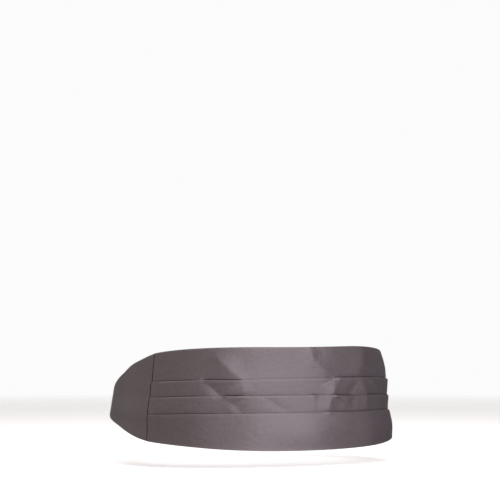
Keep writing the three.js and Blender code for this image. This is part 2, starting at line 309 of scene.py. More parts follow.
# Line 0 is the lowest fold, 3 the rim and -1 the hem. Lengths are in millimetres.
LINE_SAGS = [
    {"line": 2, "along": -150, "reach": 60, "drop": 1.0},
    {"line": 2, "along": -80, "reach": 34, "drop": 1.9},
    {"line": 2, "along": -28, "reach": 22, "drop": 1.0},
    {"line": 2, "along": 30, "reach": 50, "drop": 1.1},
    {"line": 2, "along": 165, "reach": 34, "drop": 0.7},
    {"line": 1, "along": -178, "reach": 30, "drop": 0.6},
    {"line": 1, "along": -124, "reach": 20, "drop": -0.2},
    {"line": 1, "along": -30, "reach": 110, "drop": 1.0},
    {"line": 1, "along": 86, "reach": 38, "drop": 1.9},
    {"line": 1, "along": 168, "reach": 38, "drop": 2.0},
    {"line": 0, "along": -178, "reach": 30, "drop": 0.5},
    {"line": 0, "along": -50, "reach": 100, "drop": 1.2},
    {"line": 0, "along": 74, "reach": 26, "drop": 0.8},
    {"line": 0, "along": 160, "reach": 30, "drop": -0.5},
    {"line": 3, "along": 100, "reach": 40, "drop": -0.6},
    {"line": 3, "along": 0, "reach": 50, "drop": 0.4},
    {"line": -1, "along": -150, "reach": 50, "drop": -0.7},
    {"line": -1, "along": 140, "reach": 50, "drop": 0.7},
]


def line_sag(line, along):
    """How far a line sags below its sweep."""
    sag = 0 * along
    for row in LINE_SAGS:
        if row["line"] == line:
            sag = sag + row["drop"] * MM * np.exp(-(((along / MM - row["along"]) / row["reach"]) ** 2))
    return sag


def front_lines(along):
    """Heights of the hem, of the folds from the lowest up, and of the rim."""
    share = np.minimum(1, np.abs(along) / HALF_FRONT)
    hem = front_low.z + HEM_RISE * share**HEM_SWEEP - line_sag(-1, along)
    rim = front_high.z - RIM_DROP * share**RIM_SWEEP - line_sag(3, along)
    folds = []
    for fold in range(PLEAT_COUNT):
        drop = UPPER_FOLD_DROP if fold == PLEAT_COUNT - 1 else LOWER_FOLD_DROP
        level = front_low.z + LOWER_BAND + fold * PLEAT_STEP
        folds.append(level - drop * share**FOLD_SWEEP - line_sag(fold, along))
    return hem, folds, rim


print(f"the front is {front_height / MM:.1f} mm high")

# %% [markdown]
# ## How worn cloth stands out of true
# Satin shows every dent, because it mirrors a soft light. Three kinds of relief do the work here: a broad
# swell over the hips, soft dents, and creases. Sculpting by hand would do as well, but a table of places
# can be read, checked and changed.

# %% The places of the swell, the dents and the creases
# Height is a share of half the front's height. The two outs, in millimetres, are over the wearer's right and
# left hip.
SIDE_SWELL = [
    {"height": -1.0, "right": -2.3, "left": -2.3},
    {"height": -0.6, "right": -1.8, "left": 0.2},
    {"height": -0.25, "right": 1.8, "left": -1.1},
    {"height": 0.1, "right": 1.2, "left": 1.0},
    {"height": 0.5, "right": 1.5, "left": 2.3},
    {"height": 1.0, "right": 1.9, "left": -0.9},
]
# The swell starts at this share of the way to the seam, and grows over this much more of it.
SWELL_FROM = 0.35
SWELL_OVER = 0.6

# Soft dents and swells, in millimetres.
DENTS = [
    {"along": -134, "height": 40, "reach_along": 24, "reach_height": 18, "out": -0.7},
    {"along": 98, "height": 48, "reach_along": 18, "reach_height": 22, "out": 0.7},
    {"along": -92, "height": -34, "reach_along": 38, "reach_height": 30, "out": -2.6},
    {"along": 6, "height": -44, "reach_along": 34, "reach_height": 24, "out": 1.9},
    {"along": -35, "height": 66, "reach_along": 45, "reach_height": 13, "out": 0.9},
    {"along": -126, "height": 23, "reach_along": 3, "reach_height": 2.5, "out": 0.5},
    {"along": -75, "height": 23.5, "reach_along": 3, "reach_height": 2.5, "out": 0.5},
    {"along": 52, "height": 24.5, "reach_along": 3, "reach_height": 2.5, "out": 0.4},
    {"along": 190, "height": 38, "reach_along": 30, "reach_height": 17, "out": 1.7},
    {"along": -238, "height": 2, "reach_along": 40, "reach_height": 7, "out": -0.9},
    {"along": -238, "height": -18, "reach_along": 40, "reach_height": 9, "out": 1.5},
]

# Creases, each from its upper end to its lower one. A point has its place along, its height and the crease's
# depth there, in millimetres, where a negative depth is a valley. Left and right are how far the crease
# slopes to each side, seen from the front, and round is the radius of its top.
CREASES = [
    {"points": [(-112, 57, 0), (-104, 46.5, 2.0), (-93, 36, 2.6), (-77, 24, 0.7), (-74, 8, 0.9),
                (-73, 0, 0)],
     "left": 46, "right": 26, "round": 1.2},
    {"points": [(-128, 28, 0), (-119, 20, -1.7), (-103, 6, -1.7), (-97, 1, 0)],
     "left": 11, "right": 50, "round": 0.8},
    {"points": [(-100, 8, 0), (-93, 0, -0.7), (-80, -12, -0.7), (-73, -18, 0)],
     "left": 9, "right": 26, "round": 0.8},
    {"points": [(-52, 5, 0), (-42, -2, -0.5), (-24, -12, -0.5), (-14, -18, 0)],
     "left": 12, "right": 9, "round": 0.8},
    {"points": [(12, 72, 0), (17, 58, 1.3), (21, 44, 1.4), (38, 34, 1.2), (55, 25, 0.6), (50, 12, 2.0),
                (43, -2, 1.2), (39, -14, 1.1), (38, -23, 0)],
     "left": 24, "right": 18, "round": 2.6},
    {"points": [(90, 24, 0), (85, 17, -0.6), (75, 5, -1.5), (77, -6, -1.0), (80, -20, 0)],
     "left": 14, "right": 13, "round": 2.6},
    {"points": [(91, 26, 0), (95, 18, 0.9), (103, 4, 1.8), (103, -8, 1.3), (106, -22, 0)],
     "left": 15, "right": 13, "round": 2.6},
    {"points": [(113, 70, 0), (108, 56, 1.1), (103, 42, 1.4), (92, 33, 0.9), (78, 27, 0)],
     "left": 26, "right": 20, "round": 3.0},
]
# Where a crease runs out, its slopes have this share of their full width.
CREASE_TAPER = 0.35
print(len(DENTS), "dents and", len(CREASES), "creases")

# %% [markdown]
# A crease is a ridge or a valley with a rounded top and sloping sides. It turns the cloth on its two
# sides to different parts of the light, so one side is bright and the other dark. For each point, the
# nearest place on the crease's line is found, and the slope falls off with the distance to it. A brush
# stroke in sculpt mode works the same way.

# %% Work out the relief
SAMPLES = 61


def crease_height(crease, along, height):
    """How far one crease stands out, at a place on the band."""
    points = np.array(crease["points"]) * MM
    lengths = np.hypot(*np.diff(points[:, :2], axis=0).T)
    starts = np.concatenate([[0], np.cumsum(lengths)])
    nearest, aside, run = np.full(np.shape(along), np.inf), 0 * along, 0 * along
    for start, end, length, before in zip(points, points[1:], lengths, starts):
        ahead, up = (end - start)[:2] / length
        across, above = along - start[0], height - start[1]
        at = np.clip(across * ahead + above * up, 0, length)
        gap = np.hypot(across - at * ahead, above - at * up)
        closer = gap < nearest
        aside = np.where(closer, gap * np.sign(above * ahead - across * up), aside)
        run = np.where(closer, before + at, run)
        nearest = np.minimum(gap, nearest)
    depth = soft_curve(starts, points[:, 2], run)
    reach = np.where(aside > 0, crease["right"], crease["left"]) * MM
    reach = reach * blend(CREASE_TAPER, 1, np.clip(np.abs(depth) / np.abs(points[:, 2]).max(), 0, 1))
    rounding = crease["round"] * MM
    return depth * np.clip(1 - (np.hypot(aside, rounding) - rounding) / reach, 0, 1) ** 2


def hip_swell(along, height):
    """The broad swell over the hips, which is nothing in the middle of the front and full near its seams."""
    up = np.clip(height / (front_height / 2), -1, 1)
    levels = [row["height"] for row in SIDE_SWELL]
    right, left = (soft_curve(levels, [row[hip] for row in SIDE_SWELL], up) for hip in ("right", "left"))
    weight = smooth((np.abs(along) / HALF_FRONT - SWELL_FROM) / SWELL_OVER)
    return weight * np.where(along < 0, right, left) * MM


def relief(along, height):
    """How far the worn cloth stands out, at a place on the band."""
    out = hip_swell(along, height)
    for dent in DENTS:
        across = (along / MM - dent["along"]) / dent["reach_along"]
        above = (height / MM - dent["height"]) / dent["reach_height"]
        out = out + dent["out"] * MM * np.exp(-(across * across + above * above))
    for crease in CREASES:
        out = out + crease_height(crease, along, height)
    return out


band_along = np.linspace(-1, 1, SAMPLES) * HALF_FRONT
band_up = np.linspace(-1, 1, SAMPLES) * front_height / 2
sampled = relief(*np.meshgrid(band_along, band_up))
print(f"the relief goes from {sampled.min() / MM:.1f} to {sampled.max() / MM:.1f} mm")

# %% [markdown]
# ## Folds that gape
# A pleat is a zigzag: up the front of the band, over the fold, down behind it, and up again as the next
# band. Where the worn band bends, the fold stands away from the cloth behind it between two pinched ends,
# and a dark gap opens. A simulated cloth would open its folds where it likes, so a table says where these
# do. The pinch is sharp at the fold and softer further down the band.

# %% Where the folds stand open
# Lengths in millimetres. Fold 0 is the lowest, and pinch is the length over which the fold closes.
OPEN_FOLDS = [
    {"fold": 2, "from": -195, "to": -128, "open": 0.5, "pinch": 14},
    {"fold": 2, "from": -125.5, "to": -75.5, "open": 1.1, "pinch": 5},
    {"fold": 2, "from": 52, "to": 130, "open": 1.1, "pinch": 6},
    {"fold": 2, "from": 52, "to": 195, "open": 0.7, "pinch": 6},
    {"fold": 1, "from": -195, "to": -118, "open": 0.5, "pinch": 14},
    {"fold": 1, "from": -101, "to": -73, "open": 1.1, "pinch": 6},
    {"fold": 1, "from": 13, "to": 24, "open": 0.5, "pinch": 4},
    {"fold": 1, "from": 45, "to": 84, "open": 1.5, "pinch": 7},
    {"fold": 1, "from": 104, "to": 195, "open": 0.7, "pinch": 10},
    {"fold": 0, "from": -195, "to": -95, "open": 0.4, "pinch": 20},
    {"fold": 0, "from": 38, "to": 195, "open": 0.45, "pinch": 10},
]
# A pinch is longer by this much for each millimetre below the fold.
PINCH_SPREAD = 1.5
TUCK_TIGHT = 0.09 * MM
TUCK_LOOSE = 0.4 * MM
LOOSE_OPENING = 0.6 * MM


def fold_opening(fold, along, below=0.0):
    """How far a fold stands away, this far below its crest."""
    opening = 0 * along
    for row in OPEN_FOLDS:
        if row["fold"] == fold:
            inside = np.minimum(along / MM - row["from"], row["to"] - along / MM)
            pinch = row["pinch"] + PINCH_SPREAD * below / MM
            opening = opening + row["open"] * MM * smooth(inside / pinch)
    return opening


def tuck_depth(fold, along):
    """How far the upper cloth goes in behind a fold: far where it is loose, little where it is tight."""
    return blend(TUCK_TIGHT, TUCK_LOOSE, smooth(fold_opening(fold, along) / LOOSE_OPENING))


for fold in range(PLEAT_COUNT):
    opened = fold_opening(fold, band_along)
    print(f"fold {fold} stands open by up to {opened.max() / MM:.1f} mm")

# %% [markdown]
# ## The section of the front
# The section goes up the cloth a landmark at a time. The top of each band rolls inward before it turns
# over, which catches a thin line of light, and the band above is tucked in where it goes down behind the
# fold, which makes the dark line over it. Each band and the turn over a fold could be a curve with
# handles. Here they are rows of points, close together at the roll and the tuck and wide apart between
# them, so that the mesh is fine only where the cloth bends.

# %% Sizes of the plies, the roll and the tuck
CLOTH = 0.6 * MM
PLY_GAP = 0.15 * MM
PLEAT_DEPTH = 10 * MM
INNER_PLY_OUT = 1.0 * MM
EDGE_OUT = 2.4 * MM
EDGE_ROLL = 0.5 * MM
HEM_KICK = 0.18 * MM
BAND_BELLY = 0.5 * MM
CREST_ROLL = 0.45 * MM
ROLL_REACH = 2.4 * MM
ROLL_GROWS_OVER = 0.6
TUCK_REACH = 1.0 * MM

ply = CLOTH + PLY_GAP
# A band leans out by two plies over each step between folds.
lean = 2 * ply / PLEAT_STEP
crest_tilt = math.atan(2 * CREST_ROLL / ROLL_REACH)


def crest_roll(below):
    """How far a band stands out of its straight line, this far below its crest."""
    return CREST_ROLL * (1 - np.clip(1 - below / ROLL_REACH, 0, 1) ** 2)


def rim_roll(inside):
    """How far the upper band turns in towards the rim, this far inside it."""
    return EDGE_ROLL * np.clip(1 - inside / ROLL_REACH, 0, 1) ** 2


def tuck(depth, above_fold):
    """How far the cloth over a fold is drawn in, at a height over the fold."""
    return depth * np.exp(-((above_fold / TUCK_REACH) ** 2))


print(f"a crest tips back by {math.degrees(crest_tilt):.0f} degrees")

# %% [markdown]
# A band goes up the front of the cloth to just under its fold. Its rows could be spread evenly, but then
# the whole mesh would have to be as fine as the tuck and the roll need. So these rows are counted from a
# landmark, which is the fold below or the band's own crest, and only the rows between are spread evenly.

# %% A band up to its fold
TOP_ROWS = np.array([2.4, 1.9, 1.4, 0.9, 0.5, 0.2]) * MM
TUCK_ROWS = np.array([-1.4, -0.7, -0.3, 0.0, 0.3, 0.6, 1.0, 1.5, 2.3]) * MM
# Shares of the hidden way up to the tuck.
HIDDEN_ROWS = (0.35, 0.7)


def add_band(section, start, end, fold, along, tuck_at, tuck_in, middle_rows, belly):
    """From start, behind the fold below if tuck_at is its height, up to just under the crest at end."""
    heights = []
    if tuck_at is not None:
        heights += [blend(start[0], tuck_at + TUCK_ROWS[0], share) for share in HIDDEN_ROWS]
        heights += [tuck_at + row for row in TUCK_ROWS]
    first = heights[-1] if heights else start[0]
    shares = np.linspace(0, 1, middle_rows + 2)[1:-1]
    heights += [blend(first, end[0] - TOP_ROWS[0], share) for share in shares]
    heights += [end[0] - row for row in TOP_ROWS]
    for height in heights:
        share = (height - start[0]) / (end[0] - start[0])
        out = blend(start[1], end[1], share) + belly * np.sin(np.pi * share)
        out = out + share * fold_opening(fold, along, end[0] - height)
        out = out + smooth(share / ROLL_GROWS_OVER) * crest_roll(end[0] - height)
        if tuck_at is not None:
            out = out - tuck(tuck_in, height - tuck_at)
        section.add(height, out, CLOTH / 2)


print("a fold has", len(TOP_ROWS), "rows under its crest and", len(TUCK_ROWS), "rows round the tuck")

# %% [markdown]
# The upper band is the last one. It comes out from behind the top fold and ends in the turned rim. It
# could be a band like the others with its fold cut off, but a function of its own says plainly where it
# ends.

# %% The upper band
UPPER_BAND_ROWS = 16
UPPER_BAND_END = 2.6 * MM
RIM_ROWS = np.array([2.0, 1.4, 0.8, 0.4]) * MM


def add_upper_band(section, valley, tuck_at, tuck_in, rim):
    """The last band, which starts behind the top fold and ends at the rim."""
    for share in HIDDEN_ROWS:
        section.add(blend(valley, tuck_at + TUCK_ROWS[0], share), INNER_PLY_OUT, CLOTH / 2)
    for height in [tuck_at + row for row in TUCK_ROWS]:
        rise = smooth((height - tuck_at) / (rim - tuck_at))
        out = blend(INNER_PLY_OUT, EDGE_OUT, rise) - tuck(tuck_in, height - tuck_at)
        section.add(height, out, CLOTH / 2)
    for share in np.linspace(0, 1, UPPER_BAND_ROWS + 1)[1:]:
        height = blend(tuck_at + TUCK_ROWS[-1], rim - UPPER_BAND_END, share)
        rise = smooth((height - tuck_at) / (rim - tuck_at))
        section.add(height, blend(INNER_PLY_OUT, EDGE_OUT, rise), CLOTH / 2)
    for inside in RIM_ROWS:
        section.add(rim - inside, EDGE_OUT - rim_roll(inside), CLOTH / 2)
    section.edge(rim, EDGE_OUT - EDGE_ROLL, CLOTH / 2, -1)


print("the upper band has", len(HIDDEN_ROWS) + len(TUCK_ROWS) + UPPER_BAND_ROWS + len(RIM_ROWS), "rows")

# %% [markdown]
# The whole section starts at the hem. Three times it goes up a band, over the fold, down behind it and
# round the turn at the bottom, and then up the upper band to the rim. It could be drawn once and copied
# along the front, but the folds' heights and openings change along it, so the section is worked out for
# all stations at once.

# %% The whole section
HEM_ROWS = np.array([0.4, 0.9, 1.5, 2.2]) * MM
LOWER_BAND_ROWS = 20
NARROW_BAND_ROWS = 10
CREST_POINTS = 8
VALLEY_POINTS = 6
# Shares of the way down behind a fold.
BACK_ROWS = (0.25, 0.5, 0.75)


def front_section(along):
    hem, folds, rim = front_lines(along)
    half, bend = CLOTH / 2, ply / 2
    section = Section()
    section.edge(hem, EDGE_OUT + HEM_KICK, half, 1)
    for inside in HEM_ROWS:
        section.add(hem + inside, EDGE_OUT + HEM_KICK * (1 - inside / ROLL_REACH) ** 2, half)
    closed = INNER_PLY_OUT + 2 * ply + lean * PLEAT_DEPTH
    root = INNER_PLY_OUT + bend + lean * bend
    start, tuck_at, tuck_in = (hem + ROLL_REACH, EDGE_OUT), None, 0
    middle_rows, belly = LOWER_BAND_ROWS, BAND_BELLY
    for index, fold in enumerate(folds):
        outer = closed + fold_opening(index, along)
        crest = fold - half - bend
        valley = fold - PLEAT_DEPTH + bend
        add_band(section, start, (crest, closed), index, along, tuck_at, tuck_in, middle_rows, belly)
        for angle in np.linspace(crest_tilt, np.pi, CREST_POINTS):
            section.add(crest + bend * math.sin(angle), outer - bend + bend * math.cos(angle), half)
        for share in BACK_ROWS:
            section.add(blend(crest, valley, share), blend(outer - 2 * bend, root + bend, share), half)
        for angle in np.linspace(0, np.pi, VALLEY_POINTS):
            section.add(valley - bend * math.sin(angle), root + bend * math.cos(angle), half)
        start, tuck_at, tuck_in = (valley, root - bend), fold, tuck_depth(index, along)
        middle_rows, belly = NARROW_BAND_ROWS, 0
    add_upper_band(section, valley, tuck_at, tuck_in, rim)
    return section.points()


print("the section has", front_section(np.zeros(1)).shape[1], "points")

# %% [markdown]
# ## The front as one cloth
# The seam holds the pleats flat, so the stack of plies is pressed thinner towards it, and right at the
# seam the cloth rolls inward into a groove. The stations along the waist are crowded there and about a
# millimetre and a half apart elsewhere. A subdivision modifier would refine all of the cloth, where only
# the seam needs it.

# %% Build the front
SEAM_GAP = 0.9 * MM
SEAM_ROLL = 0.25 * MM
ROLL_FULLNESS = 0.96
SEAM_REACH = 3 * MM
SEAM_STATIONS = 12
SEAM_CROWDING = 1.5
SEAM_PRESS = 0.75
PRESS_REACH = 14 * MM
FRONT_STATIONS = 245


def seam_roll(distance):
    """How far the cloth turns inward, this near to its seam."""
    depth = np.clip(1 - distance / SEAM_ROLL, 0, 1)
    return SEAM_ROLL * (1 - np.sqrt(1 - ROLL_FULLNESS * depth**2))


def sewn_flat(distance):
    """How thick the stack of plies is, this near to the seam that presses it."""
    return blend(SEAM_PRESS, 1, smooth(distance / PRESS_REACH))


front_reach = HALF_FRONT - SEAM_GAP / 2
middle_stations = np.linspace(-1, 1, FRONT_STATIONS) * (front_reach - SEAM_REACH)
crowded = (1 - np.linspace(0, 1, SEAM_STATIONS + 1)[1:]) ** SEAM_CROWDING
end_stations = front_reach - SEAM_REACH * crowded
front_along = np.concatenate([-end_stations[::-1], middle_stations, end_stations])
front_points = front_section(front_along)
front_ring = ring_of(front_points)
place_along = np.broadcast_to(front_along[:, None], front_ring.shape[:2])
front_out = front_ring[..., 1] * sewn_flat(front_reach - np.abs(place_along))
front_out = front_out + relief(place_along, front_ring[..., 0])
front_out = front_out - seam_roll(front_reach - np.abs(place_along))
front_woven = woven_places(front_points, front_along)
satin_front = build_wall(
    "satin_front", wrap(place_along, front_ring[..., 0], front_out), front_woven, (0, len(front_along) - 2),
)
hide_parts("pleated_front")

# %% [markdown]
# A panel is sewn to the front with their faces level, so the panel has to know how far out the front's
# outer face lies at the seam, at each height. A ray cast onto the mesh could find it. The front's own end
# ring already holds it: the largest out in each small step of height is the face.

# %% The front's face at its seams
FACE_STEP = 0.5 * MM
FACE_SHARES = np.linspace(0, 1, 9)

seam_ring = np.stack([front_ring[0, :, 0], front_ring[0, :, 1] * SEAM_PRESS], axis=-1)
between_points = blend(seam_ring[:-1, None, :], seam_ring[1:, None, :], FACE_SHARES[None, :, None])
face_levels = np.arange(seam_ring[:, 0].min(), seam_ring[:, 0].max(), FACE_STEP)
level_of = np.searchsorted(face_levels, between_points[..., 0].ravel()) - 1
face_outs = np.zeros(len(face_levels))
np.maximum.at(face_outs, np.clip(level_of, 0, None), between_points[..., 1].ravel())
print(f"the front stands {face_outs.min() / MM:.1f} to {face_outs.max() / MM:.1f} mm out at its seams")

# %% [markdown]
# ## The end panels
# Each panel is the same satin, doubled, and cut in a soft S on both edges from the front's height to the
# strap's width. The strap is sewn behind its tip. It could be cut from a flat shape and bent, but rings
# like the front's give it a wall, a weave and the front's relief at the seam, so the two cloths meet
# without a step.

# %% The outline of an end panel
strap_low, strap_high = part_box("strap_left")
STRAP_LEVEL = (strap_low.z + strap_high.z) / 2
STRAP_WIDTH = strap_high.z - strap_low.z
PANEL_LENGTH = 135 * MM
# The fall of each edge, as shares of the panel's length and of the way to the strap's edge.
PANEL_FALL = [
    {"along": 0.0, "top": 0.0, "bottom": 0.0},
    {"along": 0.15, "top": 0.155, "bottom": 0.17},
    {"along": 0.3, "top": 0.31, "bottom": 0.38},
    {"along": 0.45, "top": 0.53, "bottom": 0.59},
    {"along": 0.6, "top": 0.7, "bottom": 0.75},
    {"along": 0.75, "top": 0.85, "bottom": 0.88},
    {"along": 0.9, "top": 0.96, "bottom": 0.97},
    {"along": 1.0, "top": 1.0, "bottom": 1.0},
]


def panel_edges(share, side):
    """Heights of the panel's lower and upper edge, at shares of its length from the seam."""
    hem, _, rim = front_lines(np.array(side * HALF_FRONT))
    places = [row["along"] for row in PANEL_FALL]
    bottom = soft_curve(places, [row["bottom"] for row in PANEL_FALL], share)
    top = soft_curve(places, [row["top"] for row in PANEL_FALL], share)
    return blend(hem, STRAP_LEVEL - STRAP_WIDTH / 2, bottom), blend(rim, STRAP_LEVEL + STRAP_WIDTH / 2, top)


seam_bottom, seam_top = panel_edges(np.array(0.0), 1)
print(f"a panel narrows from {(seam_top - seam_bottom) / MM:.0f} to {STRAP_WIDTH / MM:.0f} mm")

# %% [markdown]
# The stations of a panel start on the seam allowance, behind the front, and end at the tip. Its section
# is one doubled cloth, turned in a little at its top and bottom edge, and at the tip it closes like a
# half circle. The turned edges could be bevels, but then their places in the cloth would have to be
# worked out again.

# %% The stations and the section of an end panel
PANEL_HALF = 0.55 * MM
PANEL_OUT = 2.4 * MM
PANEL_ROLL = 0.35 * MM
PANEL_STATIONS = 89
PANEL_ROWS = 74
ALLOWANCE = 4 * MM
TIP_ROWS = np.array([0.6, 0.4, 0.22, 0.1, 0.03, 0.002]) * MM


def panel_stations():
    """Places along the waist, from the allowance over the seam to the tip."""
    behind_front = [-ALLOWANCE, -ALLOWANCE / 2, -SEAM_GAP / 2, -SEAM_GAP / 4]
    near_seam = np.linspace(0, 1, SEAM_STATIONS + 1)[:-1] ** SEAM_CROWDING * SEAM_REACH
    tip = PANEL_LENGTH - SEAM_GAP / 2
    middle = np.linspace(SEAM_REACH, tip - TIP_ROWS[0], PANEL_STATIONS)
    return HALF_FRONT + SEAM_GAP / 2 + np.concatenate([behind_front, near_seam, middle, tip - TIP_ROWS[1:]])


def panel_section(lower, upper, from_tip):
    section = Section()
    section.edge(lower, PANEL_OUT - PANEL_ROLL, PANEL_HALF, 1)
    for row in np.linspace(0, 1, PANEL_ROWS):
        height = blend(lower + PANEL_HALF, upper - PANEL_HALF, row)
        inside = np.minimum(height - lower, upper - height)
        turned_in = PANEL_ROLL * np.clip(1 - inside / ROLL_REACH, 0, 1) ** 2
        section.add(height, PANEL_OUT - turned_in, PANEL_HALF)
    section.edge(upper, PANEL_OUT - PANEL_ROLL, PANEL_HALF, -1)
    points = section.points()
    points[..., 2] *= np.sqrt(1 - np.clip(1 - from_tip / PANEL_HALF, 0, 1) ** 2)[:, None]
    return points


print("a panel has", len(panel_stations()), "stations")

# %% [markdown]
# At the seam the panel's face is level with the front's, and over a few millimetres it goes back to its
# own line. The front's relief goes on across the seam and fades out before the tip, so that the strap
# behind it fits. A lattice could blend the two, but shares from 0 to 1 do the same.

# %% Build the end panels
PANEL_SEAM_STEPS = 5
ALLOWANCE_OUT = -0.3 * MM
ALLOWANCE_THIN = 0.3
ALLOWANCE_END = 0.2 * MM
DIP_REACH = 9 * MM
SETTLE_FROM = 0.45
SETTLE_OVER = 0.3


def build_panel(name, side):
    along = panel_stations()
    share = np.maximum(0, (along - HALF_FRONT) / PANEL_LENGTH)
    lower, upper = panel_edges(share, side)
    points = panel_section(lower, upper, HALF_FRONT + PANEL_LENGTH - along)
    ring = ring_of(points)
    place = np.broadcast_to(along[:, None], ring.shape[:2])
    from_seam = place - HALF_FRONT - SEAM_GAP / 2
    flush = PANEL_OUT + PANEL_HALF - np.interp(ring[..., 0], face_levels, face_outs)
    pressed = flush * (1 - smooth(from_seam / DIP_REACH)) + seam_roll(from_seam)
    behind_front = ALLOWANCE_OUT + (ring[..., 1] - PANEL_OUT) * ALLOWANCE_THIN
    in_allowance = along < HALF_FRONT + ALLOWANCE_END
    out = np.where(in_allowance[:, None], behind_front, ring[..., 1] - pressed)
    settle = 1 - smooth((share[:, None] - SETTLE_FROM) / SETTLE_OVER)
    out = out + settle * relief(side * place, ring[..., 0])
    worn = wrap(side * place, ring[..., 0], out)
    panel = build_wall(name, worn, woven_places(points, side * along), range(PANEL_SEAM_STEPS))
    return panel


satin_panels = {}
for side, hand in ((-1, "right"), (1, "left")):
    panel = build_panel(f"satin_panel_{hand}", side)
    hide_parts(f"end_panel_{hand}")
    satin_panels[hand] = panel

# %% [markdown]
# ## The elastic straps
# The band closes at the back with elastic webbing. Each strap is sewn behind the tip of its panel, runs
# round to the clasp, passes out through a slot, turns round the bar and is sewn down on itself. Ribbed
# webbing has cords along its length, so the wall's half thickness waves across the width. A bump could
# draw the ribs, but modelled ones still show in a close view from the side, where a bump would stay flat.

# %% The strap's line, seen from above
STRAP_WALL = 1.2 * MM
STRAP_OUT = 0.8 * MM
STRAP_LAP = 16 * MM
FOLD_BACK = 28 * MM
CLEARANCE = 0.3 * MM
CLASP_LENGTH = 40 * MM
CLASP_WALL = 2 * MM
CLASP_BAR = 4 * MM
STRAP_STEP = 1.6 * MM
TURN_POINTS = 13
BAR_STEPS = 3
BACK_STEPS = 16
LIES_DOWN_OVER = 0.5
WEBBING_HALF = 0.48 * MM
EDGE_LIMIT = 0.995
RIB_DEPTH = 0.1 * MM
RIB_COUNT = 20

strap_turn = CLASP_WALL / 2 + CLEARANCE + STRAP_WALL / 2
tip_at = HALF_FRONT + PANEL_LENGTH
bar_end = half_girth - CLASP_LENGTH / 2 + CLASP_BAR
lying_out = STRAP_OUT + STRAP_WALL + CLEARANCE


def webbing_half(height):
    """Half the webbing's thickness at a height: ribbed, and rounded at its two edges."""
    inside = STRAP_WIDTH / 2 - np.abs(height - STRAP_LEVEL)
    rib = np.abs(np.sin(np.pi * RIB_COUNT * (height - strap_low.z) / STRAP_WIDTH))
    half = WEBBING_HALF + RIB_DEPTH * (rib - 0.5)
    edge = np.clip(1 - inside / WEBBING_HALF, 0, EDGE_LIMIT)
    return half * np.sqrt(1 - edge**2)


def strap_section(heights):
    half = webbing_half(heights)
    section = Section()
    for run in np.arange(tip_at - STRAP_LAP, bar_end, STRAP_STEP):
        section.add(run, STRAP_OUT, half)
    for angle in np.linspace(0, np.pi, TURN_POINTS):
        out = STRAP_OUT + strap_turn * (1 - math.cos(angle))
        section.add(bar_end + strap_turn * math.sin(angle), out, half)
    clear_of_bar = bar_end - CLASP_BAR - CLEARANCE
    for share in np.linspace(0, 1, BAR_STEPS + 1)[1:]:
        section.add(blend(bar_end, clear_of_bar, share), STRAP_OUT + 2 * strap_turn, half)
    back_length = FOLD_BACK - CLASP_BAR
    for share in np.linspace(0, 1, BACK_STEPS + 1)[1:]:
        out = blend(STRAP_OUT + 2 * strap_turn, lying_out, smooth(share / LIES_DOWN_OVER))
        section.add(clear_of_bar - share * back_length, out, half)
    return section.points()


print(f"a strap starts {(tip_at - STRAP_LAP) / MM:.0f} mm along and turns back at {bar_end / MM:.0f} mm")

# %% [markdown]
# The rings of the front stand upright, one at each station. A strap could have such rings too, but its
# way round the bar is easier to see as one line, so its rings lie level, one at each height. They are
# close together at the two rounded edges, and between them there are about six to a rib.

# %% Build the straps
WEBBING_EDGE_ROWS = np.array([0.005, 0.06, 0.18, 0.36]) * MM
WEBBING_EDGE_END = 0.55 * MM
ROWS_TO_A_RIB = 6

strap_heights = np.concatenate([
    strap_low.z + WEBBING_EDGE_ROWS,
    np.linspace(strap_low.z + WEBBING_EDGE_END, strap_high.z - WEBBING_EDGE_END, ROWS_TO_A_RIB * RIB_COUNT),
    strap_high.z - WEBBING_EDGE_ROWS[::-1],
])
strap_points = strap_section(strap_heights)
strap_ring = ring_of(strap_points)
strap_place = woven_places(strap_points, strap_heights)
straps = []
for side, hand in ((-1, "right"), (1, "left")):
    ring = wrap(side * strap_ring[..., 0], strap_heights[:, None], strap_ring[..., 1])
    strap = build_wall(f"elastic_strap_{hand}", ring, strap_place)
    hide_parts(f"strap_{hand}")
    straps.append(strap)

# %% [markdown]
# ## The clasp
# The clasp is a flat nickel plate with a slot for each strap. It could be a box with two holes cut by
# boolean modifiers and then bevelled. A flat curve with holes is extruded and bevelled in one step, with
# clean corners, so the plate starts as one.

# %% The plate's outline
CLASP_MARGIN = 4 * MM
CLASP_CORNER = 3 * MM
CLASP_BEVEL = 0.35 * MM
BEVEL_STEPS = 3
SLOT_WIDTH = 3.6 * MM
SLOT_CORNER = 0.8 * MM
CORNER_ANGLES = np.linspace(-90, 0, 7)


def add_loop(curve, middle, length, height, corner):
    """A rectangle with round corners, drawn into the curve."""
    loop = []
    for quarter in range(4):
        x_sign, y_sign = (1, 1, -1, -1)[quarter], (-1, 1, 1, -1)[quarter]
        for step in CORNER_ANGLES:
            angle = math.radians(step + 90 * quarter)
            x = middle + x_sign * (length / 2 - corner) + corner * math.cos(angle)
            loop.append((x, y_sign * (height / 2 - corner) + corner * math.sin(angle), 0, 1))
    spline = curve.splines.new("POLY")
    spline.points.add(len(loop) - 1)
    spline.points.foreach_set("co", [value for point in loop for value in point])
    spline.use_cyclic_u = True


